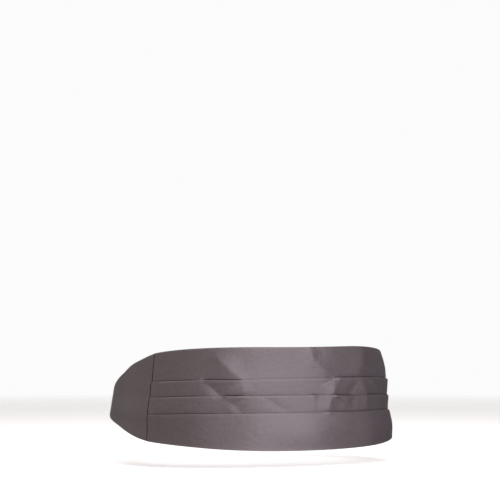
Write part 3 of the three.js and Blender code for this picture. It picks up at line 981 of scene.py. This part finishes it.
plate_curve = bpy.data.curves.new("plate", "CURVE")
plate_curve.dimensions = "2D"
plate_curve.fill_mode = "BOTH"
plate_curve.extrude = CLASP_WALL / 2 - CLASP_BEVEL
plate_curve.bevel_depth = CLASP_BEVEL
plate_curve.bevel_resolution = BEVEL_STEPS
plate_curve.offset = -CLASP_BEVEL
slot_height = STRAP_WIDTH + 2 * CLEARANCE
add_loop(plate_curve, 0, CLASP_LENGTH, slot_height + 2 * CLASP_MARGIN, CLASP_CORNER)
for side in (-1, 1):
    middle = side * (CLASP_LENGTH / 2 - CLASP_BAR - SLOT_WIDTH / 2)
    add_loop(plate_curve, middle, SLOT_WIDTH, slot_height, SLOT_CORNER)
print("the plate's curve has", len(plate_curve.splines), "loops")

# %% [markdown]
# The curve becomes a mesh, which is cut across every two millimetres. That gives it enough points to
# follow the curve of the back. Subdividing would cut it lengthwise too, where it stays straight. Edges
# between a flat face and the bevel stay sharp, so that the flat faces shade flat.

# %% Cut the plate across
CUT_STEP = 2 * MM
MERGE_DISTANCE = 0.001 * MM
CUT_DISTANCE = 0.01 * MM
FLAT_FACING = 0.999

drawn_plate = bpy.data.objects.new("drawn_plate", plate_curve)
bpy.context.collection.objects.link(drawn_plate)
worked_out = bpy.context.evaluated_depsgraph_get()
clasp_mesh = bpy.data.meshes.new_from_object(drawn_plate.evaluated_get(worked_out))
bpy.data.objects.remove(drawn_plate)
plate = bmesh.new()
plate.from_mesh(clasp_mesh)
bmesh.ops.remove_doubles(plate, verts=plate.verts, dist=MERGE_DISTANCE)
for x in np.arange(-CLASP_LENGTH / 2 + CUT_STEP, CLASP_LENGTH / 2, CUT_STEP):
    every = plate.verts[:] + plate.edges[:] + plate.faces[:]
    bmesh.ops.bisect_plane(plate, geom=every, plane_co=(x, 0, 0), plane_no=(1, 0, 0), dist=CUT_DISTANCE)
bmesh.ops.recalc_face_normals(plate, faces=plate.faces)
for face in plate.faces:
    face.smooth = True
for edge in plate.edges:
    flat_sides = sum(abs(face.normal.z) > FLAT_FACING for face in edge.link_faces)
    edge.smooth = flat_sides != 1
print("the cut plate has", len(plate.verts), "points")

# %% [markdown]
# A real plate is pressed to the curve of the back. A curve modifier could bend it, but the waist's own
# formula lays it on the same curve as the straps that pass through it. Its flat places are kept for the
# brushing.

# %% Bend the plate round the back
flat_place = np.array([vertex.co[:] for vertex in plate.verts])
inner_out = STRAP_OUT + STRAP_WALL / 2 + CLEARANCE
plate_along = np.where(flat_place[:, 0] < 0, half_girth + flat_place[:, 0], flat_place[:, 0] - half_girth)
bent = wrap(plate_along, STRAP_LEVEL + flat_place[:, 1], inner_out + CLASP_WALL / 2 + flat_place[:, 2])
for vertex, place in zip(plate.verts, bent):
    vertex.co = place
bmesh.ops.recalc_face_normals(plate, faces=plate.faces)
plate.to_mesh(clasp_mesh)
plate.free()
nickel_clasp = add_piece("nickel_clasp", clasp_mesh, flat_place)
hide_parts("clasp")
print("the clasp has", len(clasp_mesh.polygons), "faces")

# %% [markdown]
# ## Stitches
# Two rows of stitches hold each strap behind its panel, and one row holds the strap's turned-back end. A
# stitch is a short loop of thread that comes out of the cloth, lies on it and goes in again. It could be
# a bevelled curve copied by an array modifier. Here one small shape is made with numbers and repeated
# along the rows, which puts each stitch on the curved band, and all of one side's stitches are joined
# into one mesh.

# %% Rows of stitches
STITCH_PITCH = 3.0 * MM
STITCH_LENGTH = 2.3 * MM
LOWEST_STITCH = 3 * MM
LAST_STITCH_CLEAR = 2 * MM
THREAD_RADIUS = 0.2 * MM
THREAD_SIDES = 8
# The thread's line: a share of half the length, of the radius, and how high it lies in radii.
STITCH_SHAPE = [
    {"run": -1, "thick": 0.35, "lift": -1.0},
    {"run": -0.86, "thick": 0.85, "lift": -0.15},
    {"run": -0.5, "thick": 1.0, "lift": 0.35},
    {"run": 0, "thick": 1.0, "lift": 0.45},
    {"run": 0.5, "thick": 1.0, "lift": 0.35},
    {"run": 0.86, "thick": 0.85, "lift": -0.15},
    {"run": 1, "thick": 0.35, "lift": -1.0},
]


def stitch_faces(first, side):
    """The faces of one stitch, whose points start at first."""
    faces = []
    for ring in range(len(STITCH_SHAPE) - 1):
        start = first + ring * THREAD_SIDES
        for corner in range(THREAD_SIDES):
            a, b = start + corner, start + (corner + 1) % THREAD_SIDES
            faces.append([a, b, b + THREAD_SIDES, a + THREAD_SIDES][::side])
    last = first + (len(STITCH_SHAPE) - 1) * THREAD_SIDES
    faces.append([first + corner for corner in range(THREAD_SIDES)][::-side])
    faces.append([last + corner for corner in range(THREAD_SIDES)][::side])
    return faces


def stitch_rows(name, side, rows):
    """Upright rows of stitches, each row a place along the band and the outer face that it lies on."""
    corners, faces, places = [], [], []
    around = np.arange(THREAD_SIDES) * 2 * np.pi / THREAD_SIDES
    for along, out in rows:
        for height in np.arange(strap_low.z + LOWEST_STITCH, strap_high.z - LAST_STITCH_CLEAR, STITCH_PITCH):
            faces += stitch_faces(len(corners) * THREAD_SIDES, side)
            for point in STITCH_SHAPE:
                radius = THREAD_RADIUS * point["thick"]
                at = height + point["run"] * STITCH_LENGTH / 2
                across, off = radius * np.cos(around), radius * np.sin(around)
                corners.append(wrap(side * (along + across), at, out + THREAD_RADIUS * point["lift"] + off))
                places.append(np.stack([across, 0 * around + at, off], axis=-1))
    mesh = bpy.data.meshes.new(name)
    mesh.from_pydata(np.concatenate(corners).tolist(), [], faces)
    mesh.polygons.foreach_set("use_smooth", [len(face) == 4 for face in faces])
    stitches = add_piece(name, mesh, np.concatenate(places))
    print(f"{name}: {len(corners) // len(STITCH_SHAPE)} stitches")
    return stitches


# %% [markdown]
# The two rows of a panel lie near its tip, on its outer face, and the third row near the end of the
# webbing that is turned back. They could be drawn as lines on the cloth, but three places along the band
# say it all.

# %% Sew the straps on
PANEL_ROW_INSETS = (2.5 * MM, 12 * MM)
TURNED_ROW_INSET = 3 * MM

panel_face = PANEL_OUT + PANEL_HALF
strap_face = lying_out + WEBBING_HALF
turned_end = bar_end - CLASP_BAR - CLEARANCE - (FOLD_BACK - CLASP_BAR)
rows = [(tip_at - inset, panel_face) for inset in PANEL_ROW_INSETS]
rows.append((turned_end + TURNED_ROW_INSET, strap_face))
threads = [stitch_rows(f"stitches_{hand}", side, rows) for side, hand in ((-1, "right"), (1, "left"))]

# %% [markdown]
# ## Materials
# Each finish is a tree of nodes. The mesh carries the flat cloth's own coordinates in the attribute
# woven_place, so a thread is the same size everywhere and follows the folds. An image of cloth would need
# an unwrapped mesh and would blur close up. A few short helpers make the trees quick to write.

# %% Helpers for nodes and textures
def add_node(tree, kind, **settings):
    """A node, with some of its properties or inputs set by name."""
    node = tree.nodes.new(kind)
    for name, value in settings.items():
        if hasattr(node, name):
            setattr(node, name, value)
        else:
            node.inputs[name].default_value = value
    return node


def new_finish(name):
    """A material with its shader, and the flat place of each point, whole and split into three numbers."""
    material = bpy.data.materials.new(name)
    material.use_nodes = True
    tree = material.node_tree
    place = add_node(tree, "ShaderNodeAttribute", attribute_name="woven_place")
    parts = add_node(tree, "ShaderNodeSeparateXYZ")
    tree.links.new(place.outputs["Vector"], parts.inputs["Vector"])
    return material, tree, tree.nodes["Principled BSDF"], place.outputs["Vector"], parts.outputs


def scaled(tree, place, repeats):
    """The place, stretched by a number on each axis."""
    node = add_node(tree, "ShaderNodeVectorMath", operation="MULTIPLY")
    tree.links.new(place, node.inputs[0])
    node.inputs[1].default_value = repeats
    return node.outputs[0]


def noise(tree, place, repeats, detail, roughness):
    """Soft noise with so many repeats for each metre of cloth."""
    stretched = scaled(tree, place, repeats)
    node = add_node(tree, "ShaderNodeTexNoise", Scale=1.0, Detail=detail, Roughness=roughness)
    tree.links.new(stretched, node.inputs["Vector"])
    return node.outputs["Fac"]


woven = sorted(mesh.name for mesh in bpy.data.meshes if "woven_place" in mesh.attributes)
print("the cloth's own coordinates are on", ", ".join(woven))

# %% [markdown]
# Noise by itself is a number between 0 and 1. It becomes a colour, a roughness or a bump by taking it to
# another range, by adding and multiplying, by mixing two colours with it, or by lifting the surface.
# Colour ramps could do some of this by eye, but numbers can be read and changed.

# %% Helpers that turn noise into a finish
def ranged(tree, value, low, high, from_low=0.0, from_high=1.0):
    """A value taken from one range to another."""
    node = add_node(tree, "ShaderNodeMapRange")
    tree.links.new(value, node.inputs["Value"])
    ends = {"From Min": from_low, "From Max": from_high, "To Min": low, "To Max": high}
    for name, number in ends.items():
        node.inputs[name].default_value = number
    return node.outputs["Result"]


def calculate(tree, operation, a, b=0):
    """A sum with two values, each a number or an output."""
    node = add_node(tree, "ShaderNodeMath", operation=operation)
    for socket, value in zip(node.inputs, (a, b)):
        if isinstance(value, (int, float)):
            socket.default_value = value
        else:
            tree.links.new(value, socket)
    return node.outputs[0]


def mixed(tree, share, a, b):
    """A colour between a and b. Each may be a colour or an output."""
    node = add_node(tree, "ShaderNodeMix", data_type="RGBA")
    tree.links.new(share, node.inputs[0])
    for socket, value in zip(node.inputs[6:8], (a, b)):
        if isinstance(value, tuple):
            socket.default_value = (*value, 1)
        else:
            tree.links.new(value, socket)
    return node.outputs[2]


def bumped(tree, height, distance, strength, before=None):
    """The facing of a surface with a bump, on top of the one before it."""
    node = add_node(tree, "ShaderNodeBump", Distance=distance, Strength=strength)
    tree.links.new(height, node.inputs["Height"])
    if before is not None:
        tree.links.new(before, node.inputs["Normal"])
    return node.outputs["Normal"]


# %% [markdown]
# ## Satin
# Satin is woven so that most of the thread lies on its face in long floats. Along the floats it mirrors a
# soft light sharply and across them it spreads it, which is what the anisotropy of the shader does. Its
# back is dull. The colour changes a little with slow mottling, with long streaks, which are uneven
# threads, and with a fine grain. The floats are a fine bump, the streaks another, and a slow swell keeps
# the mirrored light from lying too evenly. A cloth shader with sheen would look like velvet, so the shine
# comes from a strong, broad specular over a dark base.

# %% Satin
SATIN_DARK = (0.030, 0.022, 0.025)
SATIN_LIGHT = (0.071, 0.059, 0.064)
SATIN_BACK = (0.070, 0.058, 0.063)
SATIN_TINT = (1.0, 0.89, 0.96, 1)
FACE_ROUGHNESS = (0.36, 0.46)
BACK_ROUGHNESS = 0.7
# Repeats for each metre, along the cloth and up it. The third number is 0, because the cloth is flat.
MOTTLE = (140, 140, 0)
STREAKS = (40, 1800, 0)
GRAIN = (520, 640, 0)
FLOATS = (1100, 6000, 0)
SWELL = (150, 200, 0)
MOTTLE_SHARE = 0.2
STREAK_SHARE = 0.2
GRAIN_SHARE = 0.6
TONE_RANGE = (0.3, 0.7)

satin, tree, shader, place, parts = new_finish("satin")
mottle = noise(tree, place, MOTTLE, detail=4, roughness=0.6)
streaks = noise(tree, place, STREAKS, detail=3, roughness=0.6)
grain = noise(tree, place, GRAIN, detail=2, roughness=0.7)
mottled = calculate(tree, "MULTIPLY", mottle, MOTTLE_SHARE)
streaked = calculate(tree, "MULTIPLY", streaks, STREAK_SHARE)
grained = calculate(tree, "MULTIPLY", grain, GRAIN_SHARE)
tone = calculate(tree, "ADD", calculate(tree, "ADD", mottled, streaked), grained)
face_colour = mixed(tree, ranged(tree, tone, 0, 1, *TONE_RANGE), SATIN_DARK, SATIN_LIGHT)
tree.links.new(mixed(tree, parts["Z"], face_colour, SATIN_BACK), shader.inputs["Base Color"])
face_roughness = ranged(tree, mottle, *FACE_ROUGHNESS)
back_roughness = calculate(tree, "MULTIPLY", parts["Z"], BACK_ROUGHNESS)
tree.links.new(calculate(tree, "MAXIMUM", face_roughness, back_roughness), shader.inputs["Roughness"])
floats = add_node(tree, "ShaderNodeTexVoronoi", feature="F1", Scale=1.0, Randomness=0.8)
tree.links.new(scaled(tree, place, FLOATS), floats.inputs["Vector"])
float_facing = bumped(tree, floats.outputs["Distance"], distance=0.02 * MM, strength=0.35)
streak_facing = bumped(tree, streaks, distance=0.03 * MM, strength=0.4, before=float_facing)
swell = noise(tree, place, SWELL, detail=1, roughness=0.4)
swell_facing = bumped(tree, swell, distance=0.4 * MM, strength=0.6, before=streak_facing)
tree.links.new(swell_facing, shader.inputs["Normal"])
shader.inputs["Specular IOR Level"].default_value = 1.0
shader.inputs["Specular Tint"].default_value = SATIN_TINT
shader.inputs["Anisotropic"].default_value = 0.5
shader.inputs["Anisotropic Rotation"].default_value = 0.25
print("satin has", len(tree.nodes), "nodes")

# %% [markdown]
# ## The shade in a seam
# The bottom of a sewn groove hardly sees the light. It could be modelled deeper, but a groove narrower
# than a pixel would speckle, so the faces in a seam are painted dark and matt, as painted shade.

# %% The shade in a seam
SHADE_DARK = (0.006, 0.004, 0.005)
SHADE_LIGHT = (0.018, 0.014, 0.015)
SHADE_GRAIN = (900, 1400, 0)
SHADE_ROUGHNESS = (0.8, 1.0)

seam_shade, tree, shader, place, _ = new_finish("seam_shade")
# The noise varies the painted shade of the seam a little, in colour and roughness.
tucked = noise(tree, place, SHADE_GRAIN, detail=3, roughness=0.6)
tree.links.new(mixed(tree, tucked, SHADE_DARK, SHADE_LIGHT), shader.inputs["Base Color"])
tree.links.new(ranged(tree, tucked, *SHADE_ROUGHNESS), shader.inputs["Roughness"])
shader.inputs["Specular IOR Level"].default_value = 0.05
# Each cloth's second material paints the shade in its seams.
for piece in (satin_front, *satin_panels.values()):
    piece.data.materials.append(satin)
    piece.data.materials.append(seam_shade)
    print(piece.name, "has", len(piece.data.materials), "materials")

# %% [markdown]
# ## Thread
# Sewing thread is twisted from two strands. Two thin tubes wound round each other would show it, but at
# this size a slanting wave of painted shade and highlight in the colour, with the same wave as a bump,
# looks alike and costs no faces.

# %% Thread
THREAD_DARK = (0.05, 0.04, 0.044)
THREAD_LIGHT = (0.12, 0.1, 0.108)
# How fast the twist turns, in radians for each metre.
TWIST_RATE = 9000

thread, tree, shader, _, parts = new_finish("thread")
slant = calculate(tree, "ADD", parts["Y"], parts["X"])
twist = calculate(tree, "SINE", calculate(tree, "MULTIPLY", slant, TWIST_RATE))
# The colour follows the twist as painted shade between the strands and painted highlight on them.
painted_strand_shade = ranged(tree, twist, 0, 1, -1, 1)
tree.links.new(mixed(tree, painted_strand_shade, THREAD_DARK, THREAD_LIGHT), shader.inputs["Base Color"])
tree.links.new(bumped(tree, twist, distance=0.03 * MM, strength=0.6), shader.inputs["Normal"])
shader.inputs["Roughness"].default_value = 0.45
for piece in threads:
    piece.data.materials.append(thread)
print("thread has", len(tree.nodes), "nodes")

# %% [markdown]
# ## Elastic
# Elastic webbing is matt. Fine picks of thread cross the ribs, 0.9 mm apart, and noise stands for the
# fuzz of the fibres. Hairs could be grown on it, but a little sheen in the shader gives the same soft
# edge.

# %% Elastic
ELASTIC_DARK = (0.034, 0.028, 0.031)
ELASTIC_LIGHT = (0.078, 0.065, 0.071)
PICK_STEP = 0.9 * MM
PICK_SHARE = 0.25
FUZZ = (900, 900, 0)
ELASTIC_RANGE = (0.15, 0.95)
ELASTIC_ROUGHNESS = (0.7, 0.9)

elastic, tree, shader, place, parts = new_finish("elastic")
picks = calculate(tree, "SINE", calculate(tree, "MULTIPLY", parts["Y"], 2 * math.pi / PICK_STEP))
fuzz = noise(tree, place, FUZZ, detail=4, roughness=0.65)
shade = calculate(tree, "ADD", calculate(tree, "MULTIPLY", picks, PICK_SHARE), fuzz)
elastic_share = ranged(tree, shade, 0, 1, *ELASTIC_RANGE)
tree.links.new(mixed(tree, elastic_share, ELASTIC_DARK, ELASTIC_LIGHT), shader.inputs["Base Color"])
tree.links.new(ranged(tree, fuzz, *ELASTIC_ROUGHNESS), shader.inputs["Roughness"])
tree.links.new(bumped(tree, shade, distance=0.12 * MM, strength=0.7), shader.inputs["Normal"])
shader.inputs["Specular IOR Level"].default_value = 0.35
shader.inputs["Sheen Weight"].default_value = 0.15
shader.inputs["Sheen Roughness"].default_value = 0.5
for piece in straps:
    piece.data.materials.append(elastic)
print("elastic has", len(tree.nodes), "nodes")

# %% [markdown]
# ## Nickel
# The clasp is brushed nickel. Brushing leaves fine lines along the plate, so noise that is long one way
# and short the other roughens and bumps it, and slower noise adds the smudges of handling. An image of
# scratches would repeat.

# %% Nickel
NICKEL_DARK = (0.60, 0.58, 0.54)
NICKEL_LIGHT = (0.66, 0.64, 0.60)
BRUSHING = (120, 9000, 0)
SMUDGES = (160, 160, 160)
BRUSHED_ROUGHNESS = (0.25, 0.33)
SMUDGE_ROUGHNESS = (-0.03, 0.03)

nickel, tree, shader, place, _ = new_finish("nickel")
brushing = noise(tree, place, BRUSHING, detail=3, roughness=0.6)
smudges = noise(tree, place, SMUDGES, detail=3, roughness=0.5)
tree.links.new(mixed(tree, smudges, NICKEL_DARK, NICKEL_LIGHT), shader.inputs["Base Color"])
brushed = ranged(tree, brushing, *BRUSHED_ROUGHNESS)
handled = ranged(tree, smudges, *SMUDGE_ROUGHNESS)
tree.links.new(calculate(tree, "ADD", brushed, handled), shader.inputs["Roughness"])
tree.links.new(bumped(tree, brushing, distance=0.002 * MM, strength=0.5), shader.inputs["Normal"])
shader.inputs["Metallic"].default_value = 1.0
nickel_clasp.data.materials.append(nickel)
print("nickel has", len(tree.nodes), "nodes")

# %% [markdown]
# ## The floor
# The band is held at its worn height, so the floor lies a little below its hem and takes a soft shadow. A
# studio's paper sweep curves up behind the object. Here the floor fades out into a white backdrop
# instead, which looks the same from every side. The satin doesn't mirror the floor, because its white
# would wash out the folds.

# %% Floor
FLOOR_LEVEL = front_low.z - 20 * MM
FLOOR_SIZE = 8
# Metres from the middle, between which the floor fades out.
FLOOR_FADE = (0.9, 2.6)
FLOOR_COLOUR = (0.86, 0.86, 0.86, 1)

bpy.ops.mesh.primitive_plane_add(size=FLOOR_SIZE, location=(0, 0, FLOOR_LEVEL))
floor = bpy.context.object
floor.name = "floor"
floor_material = bpy.data.materials.new("floor")
floor_material.use_nodes = True
tree = floor_material.node_tree
shader = tree.nodes["Principled BSDF"]
shader.inputs["Base Color"].default_value = FLOOR_COLOUR
shader.inputs["Roughness"].default_value = 0.8
where = add_node(tree, "ShaderNodeTexCoord")
reach = add_node(tree, "ShaderNodeVectorMath", operation="LENGTH")
tree.links.new(where.outputs["Object"], reach.inputs[0])
tree.links.new(ranged(tree, reach.outputs["Value"], 1, 0, *FLOOR_FADE), shader.inputs["Alpha"])
floor.data.materials.append(floor_material)
floor.visible_glossy = False
print(f"the floor lies at {FLOOR_LEVEL:.3f} m")

# %% [markdown]
# ## The backdrop
# The backdrop is a white globe round everything, which only the camera sees. The world could be white
# instead, but then it would light the satin from all sides, and no fold would show.

# %% Backdrop
BACKDROP_RADIUS = 20
BACKDROP_WHITE = (0.97, 0.97, 0.97, 1)

bpy.ops.mesh.primitive_uv_sphere_add(segments=64, ring_count=32, radius=BACKDROP_RADIUS)
backdrop = bpy.context.object
backdrop.name = "backdrop"
backdrop_material = bpy.data.materials.new("backdrop")
backdrop_material.use_nodes = True
shader = backdrop_material.node_tree.nodes["Principled BSDF"]
shader.inputs["Base Color"].default_value = (0, 0, 0, 1)
shader.inputs["Specular IOR Level"].default_value = 0
shader.inputs["Emission Color"].default_value = BACKDROP_WHITE
shader.inputs["Emission Strength"].default_value = 1
backdrop.data.materials.append(backdrop_material)
backdrop.visible_diffuse = False
backdrop.visible_glossy = False
backdrop.visible_shadow = False
backdrop.visible_transmission = False
print("the backdrop is", 2 * BACKDROP_RADIUS, "m across")

# %% [markdown]
# ## The room that the satin mirrors
# What makes satin look like satin is what it mirrors. The room is light and warm at the left of the
# picture and darker at its right. Behind the band it is dim, with one bright window, and it is dark
# below, which shades the cloth that turns down. A photographed room would need an image. A few ramps over
# the direction of view need none.

# %% Room
# Left and right are as in the picture.
ROOM_RIGHT = (0.101, 0.096, 0.101)
ROOM_LEFT = (0.59, 0.536, 0.492)
ROOM_BEHIND = (0.2, 0.19, 0.185)
ROOM_WINDOW = (1.1, 0.95, 0.95)
ROOM_BELOW = (0.05, 0.045, 0.045)
# Where each ramp starts and ends, on the direction's part across, up or to the back.
LEFT_RAMP = (-0.1, 0.2)
BELOW_RAMP = (-0.65, -0.28)
BEHIND_RAMP = (0.75, 1.0)
WINDOW_BEHIND_RAMP = (0.72, 0.84)
WINDOW_ACROSS_RAMP = (0.2, 0.4)

world = bpy.data.worlds.new("world")
bpy.context.scene.world = world
world.use_nodes = True
tree = world.node_tree
where = add_node(tree, "ShaderNodeTexCoord")
parts = add_node(tree, "ShaderNodeSeparateXYZ")
tree.links.new(where.outputs["Generated"], parts.inputs["Vector"])
from_left = ranged(tree, parts.outputs["X"], 1, 0, *LEFT_RAMP)
from_below = ranged(tree, parts.outputs["Z"], 1, 0, *BELOW_RAMP)
from_behind = ranged(tree, parts.outputs["Y"], 0, 1, *BEHIND_RAMP)
around = mixed(tree, from_behind, mixed(tree, from_left, ROOM_RIGHT, ROOM_LEFT), ROOM_BEHIND)
window_behind = ranged(tree, parts.outputs["Y"], 0, 1, *WINDOW_BEHIND_RAMP)
window_across = ranged(tree, parts.outputs["X"], 0, 1, *WINDOW_ACROSS_RAMP)
window = calculate(tree, "MULTIPLY", window_behind, window_across)
around = mixed(tree, window, around, ROOM_WINDOW)
tree.links.new(mixed(tree, from_below, around, ROOM_BELOW), tree.nodes["Background"].inputs["Color"])
print("the room has", len(tree.nodes), "nodes")

# %% [markdown]
# ## The lights
# Broad area lights stand for a studio's soft boxes. A point lamp would give a small, hard shine. The key
# light is the strongest one in front, a little to one side. The near and the side light fill in on its
# two sides, the high light reaches the cloth that turns up along a fold, the top light is over the floor,
# and the back light is for the straps and the clasp.

# %% Lights
# Angles in degrees from straight ahead and from level, sizes in metres and power in watts.
LIGHTS = [
    {"name": "key_light", "azimuth": 16, "elevation": 14, "distance": 2.0, "width": 1.8, "height": 1.9,
     "power": 31.2, "colour": (1.0, 0.98, 1.0)},
    {"name": "high_light", "azimuth": 6, "elevation": 46, "distance": 2.0, "width": 1.6, "height": 0.6,
     "power": 7.5, "colour": (1.0, 0.98, 1.0)},
    {"name": "near_light", "azimuth": -22, "elevation": 0, "distance": 2.0, "width": 0.9, "height": 1.5,
     "power": 2.7, "colour": (1.0, 0.97, 0.98)},
    {"name": "side_light", "azimuth": 60, "elevation": 10, "distance": 2.0, "width": 1.1, "height": 1.8,
     "power": 3.2, "colour": (1.0, 0.97, 1.0)},
    {"name": "top_light", "azimuth": 0, "elevation": 88, "distance": 1.6, "width": 2.0, "height": 2.0,
     "power": 30, "colour": (1.0, 1.0, 1.0)},
    {"name": "back_light", "azimuth": 168, "elevation": 62, "distance": 2.0, "width": 1.8, "height": 0.8,
     "power": 13, "colour": (1.0, 0.98, 0.98)},
]

for row in LIGHTS:
    data = bpy.data.lights.new(row["name"], "AREA")
    data.shape = "RECTANGLE"
    data.size, data.size_y = row["width"], row["height"]
    data.energy = row["power"]
    data.color = row["colour"]
    light = bpy.data.objects.new(row["name"], data)
    bpy.context.collection.objects.link(light)
    azimuth, elevation = math.radians(row["azimuth"]), math.radians(row["elevation"])
    level = math.cos(elevation)
    away = Vector((level * math.sin(azimuth), -level * math.cos(azimuth), math.sin(elevation)))
    light.location = row["distance"] * away
    light.rotation_euler = (-away).to_track_quat("-Z", "Y").to_euler()
    light.visible_camera = False
bpy.context.scene.view_settings.view_transform = "Standard"
print(len(LIGHTS), "lights,", sum(row["power"] for row in LIGHTS), "watts in all")
